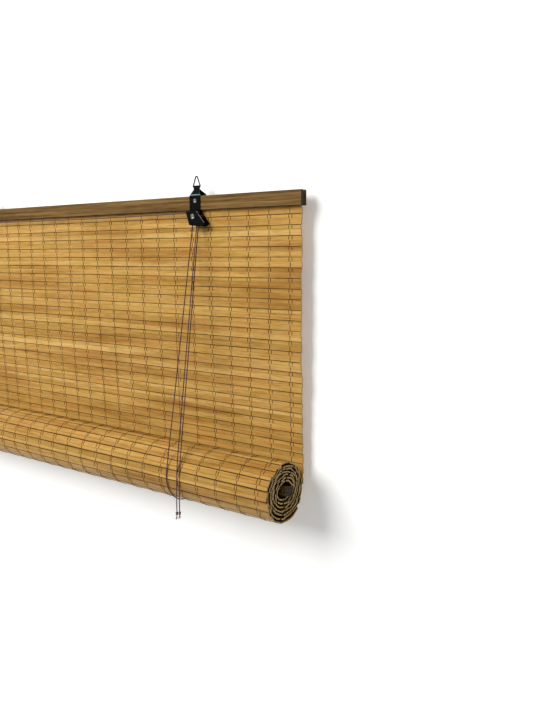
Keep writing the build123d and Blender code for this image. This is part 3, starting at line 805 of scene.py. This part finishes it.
# %% Split bamboo: fibres, patches and dark seams
fibres = mottle(tree, (22.222, 0.66667, 0.66667), 3.0, 0.6)
fibre_stops = [(0.30, "#A88455"), (0.50, "#FFFFFF"), (1.0, "#FFFFFF")]
fibred = add(tree, "ShaderNodeValToRGB", {"Fac": fibres}, fibre_stops).outputs["Color"]
mixed = add(tree, "ShaderNodeMix", {0: 0.6, 6: mixed, 7: fibred}, **GLAZE).outputs[2]
patchy = coloured(tree, (312.5, 16.6667, 16.6667), 2.0, [(0.33, "#BFA06E"), (0.55, "#FFFFFF")])
mixed = add(tree, "ShaderNodeMix", {0: 0.6, 6: mixed, 7: patchy}, **GLAZE).outputs[2]
# Painted seam shade: the rim attribute, made uneven by a noise, lays dark brown on the strips'
# edges.
rim = add(tree, "ShaderNodeAttribute", attribute_name="rim").outputs["Fac"]
seam_shade_noise = mottle(tree, (28.5714, 33.3333, 33.3333), 2.0)
seam_shade_weight = add(tree, "ShaderNodeMath", {0: seam_shade_noise, 1: 0.42}, operation="ADD").outputs[0]
uneven_rim = add(tree, "ShaderNodeMath", {0: rim, 1: seam_shade_weight}, operation="MULTIPLY").outputs[0]
rim_inputs = {0: uneven_rim, 6: mixed, 7: colour("#331B0B")}
mixed = add(tree, "ShaderNodeMix", rim_inputs, **OVER).outputs[2]
tree.links.new(mixed, shader.inputs["Base Color"])
shader.inputs["Roughness"].default_value = 0.5
shader.inputs["Specular IOR Level"].default_value = 0.28
uneven_skin(tree, shader, fibres, 0.25, 0.2)
strip_pieces = [item for item in bpy.data.objects if item.name.startswith("strips_row")]
strip_pieces.append(roll)
wear(strip_pieces, bamboo)

# %% [markdown]
# The cut end of a strip is cross-grain: dull, pale and speckled with the dark dots of the
# fibre bundles, under a millimetre apart. The end caps are the only faces with more than
# four corners, which is how they are found.

# %% Cut ends of the strips
cut_end, tree, shader = finish_named("sawn_bamboo_end")
dot_stops = [(0.36, "#5E4421"), (0.5, "#B0905A"), (0.66, "#D8BE8C")]
dots = coloured(tree, (1.1111, 0.714286, 0.714286), 2.0, dot_stops)
tree.links.new(dots, shader.inputs["Base Color"])
shader.inputs["Roughness"].default_value = 0.85
for piece in strip_pieces:
    piece.data.materials.append(cut_end)
    sides = np.empty(len(piece.data.polygons), np.int32)
    piece.data.polygons.foreach_get("loop_total", sides)
    piece.data.polygons.foreach_set("material_index", (sides > 4).astype(np.int32))
print(cut_end.name, "on strip pieces", len(strip_pieces))

# %% [markdown]
# The rail's battens are a light wood with a thin grey-brown stain, wiped on, so the grain
# shows through and long dark lines run the length of the rail. The photograph has the
# underside and the ends nearly black, partly from shade. The lamps alone don't give that,
# so both get painted shade in the colour, found by the way that a face looks.

# %% Stained battens
stained, tree, shader = finish_named("wiped_stain_on_softwood")
grain_stops = [(0.30, "#46331A"), (0.45, "#6E532E"), (0.58, "#83663C"), (0.75, "#A68958")]
board = coloured(tree, (200.0, 3.84615, 3.84615), 6.0, grain_stops, 0.62)
pores = mottle(tree, (33.3333, 0.769231, 0.769231), 3.0)
pore_stops = [(0.36, "#8C7A64"), (0.55, "#FFFFFF")]
fine = add(tree, "ShaderNodeValToRGB", {"Fac": pores}, pore_stops).outputs["Color"]
board = add(tree, "ShaderNodeMix", {0: 0.6, 6: board, 7: fine}, **GLAZE).outputs[2]
normal = add(tree, "ShaderNodeTexCoord").outputs["Normal"]
# Painted shade: the underside and both ends take a near-black colour by which way their faces
# look.
painted_shade_faces = (
    ((0, 0, -1), 0.3, 0.8, "#1C1208"),
    ((1, 0, 0), 0.6, 0.9, "#2C1E10"),
    ((-1, 0, 0), 0.6, 0.9, "#2C1E10"),
)
for way, begins, full, stain in painted_shade_faces:
    faces = add(tree, "ShaderNodeVectorMath", {0: normal, 1: way}, operation="DOT_PRODUCT")
    stops = list(zip((begins, full), BLACK_TO_WHITE))
    share = add(tree, "ShaderNodeValToRGB", {"Fac": faces.outputs["Value"]}, stops)
    inputs = {0: share.outputs["Color"], 6: board, 7: colour(stain)}
    board = add(tree, "ShaderNodeMix", inputs, **OVER).outputs[2]
tree.links.new(board, shader.inputs["Base Color"])
shader.inputs["Roughness"].default_value = 0.6
shader.inputs["Specular IOR Level"].default_value = 0.2
uneven_skin(tree, shader, pores, 0.3, 0.3)
battens = ("front_batten", "rear_batten", "bottom_batten_front", "bottom_batten_rear")
wear([frame["nodes"][name] for name in battens], stained)

# %% [markdown]
# Spun cotton is dark brown and quite matt. Its fuzz is finer than a thread, and is
# drawn at two thirds of a millimetre so that it shows at all.

# %% Cotton warp threads
warp, tree, shader = finish_named("spun_cotton_warp")
fuzz = coloured(tree, (0.66667,) * 3, 2.0, [(0.3, "#3B2010"), (0.7, "#5E371C")])
tree.links.new(fuzz, shader.inputs["Base Color"])
shader.inputs["Roughness"].default_value = 0.9
wear([paired_threads, single_threads], warp)

# %% [markdown]
# The cords are twisted from the same cotton in a redder brown, with a soft sheen at their
# edges and the single yarns pressed into the surface.

# %% Twisted cotton cords
cord_finish, tree, shader = finish_named("twisted_cotton_cord")
yarn = mottle(tree, (0.83333,) * 3, 3.0)
yarn_stops = [(0.3, "#3E2724"), (0.7, "#775650")]
shade = add(tree, "ShaderNodeValToRGB", {"Fac": yarn}, yarn_stops).outputs["Color"]
tree.links.new(shade, shader.inputs["Base Color"])
shader.inputs["Roughness"].default_value = 0.85
shader.inputs["Sheen Weight"].default_value = 0.25
uneven_skin(tree, shader, yarn, 0.4, 0.2)
wear([right_cord, left_cord, rear_knots, pull_knots, frayed_ends], cord_finish)

# %% [markdown]
# The straps and housings are folded steel sheet with baked black enamel: nearly black,
# half glossy, with a faint orange-peel skin. Two places stand out in the photograph: a
# blue-green band at the strap's bend, taken for a reflection of something outside the
# picture, and a bright line along the slanted front edge of the cheek, taken for metal
# worn bare. Nothing in this scene could be mirrored there, so both are painted in the
# colour: the band is a painted reflection and the line a painted highlight. They are found
# by where they are and which way they face.

# %% Black enamel: skin
enamel, tree, shader = finish_named("black_baked_enamel_on_steel")
scuff_stops = [(0.35, "#060607"), (0.62, "#0A0B0C"), (0.8, "#141516")]
skin = coloured(tree, (6.25,) * 3, 4.0, scuff_stops)
place = add(tree, "ShaderNodeTexCoord")
parts = add(tree, "ShaderNodeSeparateXYZ", {0: place.outputs["Object"]})
depth_inputs = {0: parts.outputs["Z"], 1: -10.0}
depth = add(tree, "ShaderNodeMath", depth_inputs, operation="MULTIPLY").outputs[0]
# The painted reflection band lies 25 to 27 mm below the hook, and places on this ramp count tenths
# of a metre.
band_stops = [(0.250, "#000000"), (0.256, "#6F8A88"), (0.264, "#6F8A88"), (0.272, "#000000")]
band = add(tree, "ShaderNodeValToRGB", {"Fac": depth}, band_stops).outputs["Color"]
skin = add(tree, "ShaderNodeMix", {0: 1.0, 6: skin, 7: band}, **LIGHT).outputs[2]
print("nodes so far", len(tree.nodes))

# %% [markdown]
# The painted highlight lies where three multiplied tests all pass: the face looks along the
# cheek's slanted edge, it is below the strap's foot, and it belongs to the front cheek.

# %% Black enamel: painted highlight on the worn edge
SLANT = (0.755, 0.0, 0.655)
FOOT_Z, FRONT_Y = -49.7 * MM, -6.0 * MM
slant_inputs = {0: place.outputs["Normal"], 1: SLANT}
facing = add(tree, "ShaderNodeVectorMath", slant_inputs, operation="DOT_PRODUCT")
edge_stops = list(zip((0.965, 0.985), BLACK_TO_WHITE))
edge_highlight_mask = add(tree, "ShaderNodeValToRGB", {"Fac": facing.outputs["Value"]}, edge_stops).outputs[0]
for axis, limit in (("Z", FOOT_Z), ("Y", FRONT_Y)):
    limits = {0: parts.outputs[axis], 1: limit}
    past = add(tree, "ShaderNodeMath", limits, operation="LESS_THAN").outputs[0]
    edge_highlight_mask = add(tree, "ShaderNodeMath", {0: edge_highlight_mask, 1: past}, operation="MULTIPLY").outputs[0]
# Painted highlight: near-white in the colour along the cheek's slanted edge.
highlight_inputs = {0: edge_highlight_mask, 6: skin, 7: colour("#ECE8DF")}
highlighted_skin = add(tree, "ShaderNodeMix", highlight_inputs, **OVER).outputs[2]
tree.links.new(highlighted_skin, shader.inputs["Base Color"])
shader.inputs["Roughness"].default_value = 0.38
shader.inputs["Specular IOR Level"].default_value = 0.16
uneven_skin(tree, shader, mottle(tree, (1.42857,) * 3, 3.0), 0.12, 0.2)
black_parts = ("strap_right", "strap_left", "lock_housing", "pulley_housing_left")
wear([frame["nodes"][name] for name in black_parts], enamel)

# %% [markdown]
# Rivets, axles and screws are steel with a thin bright zinc plate. The rings, bent from
# drawn spring wire, and the turned roller have a darker nickel plate that shines less.
# Either plate is cloudy at a couple of millimetres, so one loop makes both.

# %% Plated metals
bright = ["rail_screws", "bottom_rail_screws", "strap_rivet_right", "strap_rivet_left"]
bright += ["lock_foot_rivets", "foot_rivets_left", "lock_axle", "axle_left"]
wires = ["ring_right", "ring_left", "lock_roller"]
plates = (
    ("bright_zinc_plate", 2.5, "#A8A7A2", "#CFCDC7", 0.3, bright),
    ("dull_nickel_plate", 2.0, "#3F3D3A", "#75726B", 0.36, wires),
)
for name, cloud, dark, light, roughness, nodes in plates:
    plate, tree, shader = finish_named(name)
    cloudy = coloured(tree, (cloud,) * 3, 3.0, [(0.3, dark), (0.7, light)])
    tree.links.new(cloudy, shader.inputs["Base Color"])
    shader.inputs["Metallic"].default_value = 1.0
    shader.inputs["Roughness"].default_value = roughness
    wear([frame["nodes"][node] for node in nodes], plate)

# %% [markdown]
# The pulley wheels are moulded in black acetal, a slippery plastic: dark grey, half matt,
# with the slight mottle of the mould.

# %% Moulded pulley wheels
acetal, tree, shader = finish_named("moulded_black_acetal")
moulded = coloured(tree, (1.1111,) * 3, 2.0, [(0.3, "#141414"), (0.7, "#222222")])
tree.links.new(moulded, shader.inputs["Base Color"])
shader.inputs["Roughness"].default_value = 0.45
wear([frame["nodes"][name] for name in ("lock_pulley", "pulley_left")], acetal)

# %% [markdown]
# ## Wall, light and background
# The blind hangs about two centimetres in front of a white wall. The wall gives off just
# enough light to the camera to be white where it is lit, and the blind's shadow still
# shows. Seen from behind it is clear, and it stops no lamp's light, so that the back of the
# blind can be looked at.


# %% Wall and floor
def quad(name, corners_m):
    """One flat face that belongs to the stage."""
    mesh = bpy.data.meshes.new(name)
    mesh.from_pydata(corners_m, [], [(0, 1, 2, 3)])
    piece = bpy.data.objects.new(name, mesh)
    bpy.context.collection.objects.link(piece)
    return piece


def room_paint(name, code, strength):
    """Matt paint that glows a little to the camera, clear from behind and to every lamp."""
    material = bpy.data.materials.new(name)
    material.use_nodes = True
    tree = material.node_tree
    tree.nodes.clear()
    paint = add(tree, "ShaderNodeBsdfDiffuse", {"Color": colour(code)})
    glow = add(tree, "ShaderNodeEmission", {"Color": (1, 1, 1, 1), "Strength": strength})
    both = add(tree, "ShaderNodeAddShader", {0: paint.outputs[0], 1: glow.outputs[0]})
    path = add(tree, "ShaderNodeLightPath").outputs
    rays = {0: path["Is Camera Ray"], 1: path["Is Glossy Ray"]}
    seen = add(tree, "ShaderNodeMath", rays, operation="MAXIMUM").outputs[0]
    sides = {0: seen, 1: paint.outputs[0], 2: both.outputs[0]}
    front = add(tree, "ShaderNodeMixShader", sides)
    clear = add(tree, "ShaderNodeBsdfTransparent")
    behind = add(tree, "ShaderNodeNewGeometry").outputs["Backfacing"]
    open_to = {0: behind, 1: path["Is Shadow Ray"]}
    passed = add(tree, "ShaderNodeMath", open_to, operation="MAXIMUM").outputs[0]
    sides = {0: passed, 1: front.outputs[0], 2: clear.outputs[0]}
    shown = add(tree, "ShaderNodeMixShader", sides)
    add(tree, "ShaderNodeOutputMaterial", {"Surface": shown.outputs[0]})
    return material


WALL_Y, FLOOR_Z = 0.0215, -2.2
wall = quad("wall", [(-4, WALL_Y, FLOOR_Z), (4, WALL_Y, FLOOR_Z), (4, WALL_Y, 3), (-4, WALL_Y, 3)])
floor = quad(
    "floor", [(-4, -5, FLOOR_Z), (4, -5, FLOOR_Z), (4, WALL_Y, FLOOR_Z), (-4, WALL_Y, FLOOR_Z)]
)
wear([wall], room_paint("white_wall_paint", "#F0F0EE", 0.23))
wear([floor], room_paint("pale_floor_paint", "#A8A8A6", 0.65))

# %% [markdown]
# The world is a dim white room that fills the shadows, and it shows itself to the camera as
# a plain white backdrop. A wide lamp at the upper left is the window. Shiny pieces don't
# mirror it, because its pale image would lie over the black enamel; they mirror a
# small weak lamp, which gives the rivets their sparkle. A third lamp lights the back.

# %% World and lamps
world = bpy.data.worlds.new("studio")
bpy.context.scene.world = world
world.use_nodes = True
tree = world.node_tree
tree.nodes.clear()
path = add(tree, "ShaderNodeLightPath").outputs
rays = {0: path["Is Camera Ray"], 1: path["Is Transmission Ray"]}
seen = add(tree, "ShaderNodeMath", rays, operation="MAXIMUM").outputs[0]
room = add(tree, "ShaderNodeBackground", {"Color": (1, 1, 1, 1), "Strength": 0.30})
backdrop = add(tree, "ShaderNodeBackground", {"Color": (1, 1, 1, 1), "Strength": 1.0})
sky = add(tree, "ShaderNodeMixShader", {0: seen, 1: room.outputs[0], 2: backdrop.outputs[0]})
add(tree, "ShaderNodeOutputWorld", {"Surface": sky.outputs[0]})


def lamp(name, place, target, size, power, mirrored):
    """Square area lamp aimed at a point; mirrored says if shiny surfaces show it."""
    data = bpy.data.lights.new(name, "AREA")
    data.size = size
    data.energy = power
    item = bpy.data.objects.new(name, data)
    item.location = place
    item.visible_glossy = mirrored
    way = np.array(target) - np.array(place)
    item.rotation_euler = (
        math.acos(-way[2] / np.linalg.norm(way)),
        0.0,
        math.atan2(-way[0], way[1]),
    )
    bpy.context.collection.objects.link(item)
    return item


lamp("window_light", (-2.2, -3.6, 2.2), (-0.1, 0.0, -0.3), 2.8, 275.0, False)
lamp("sparkle_light", (-0.5, -1.5, 1.3), (0.0, 0.0, -0.1), 0.35, 3.0, True)
lamp("rear_light", (-0.3, 3.4, 0.8), (-0.3, 0.0, -0.25), 2.4, 60.0, False)
bpy.context.scene.view_settings.view_transform = "Standard"
print("lamps", len(bpy.data.lights))
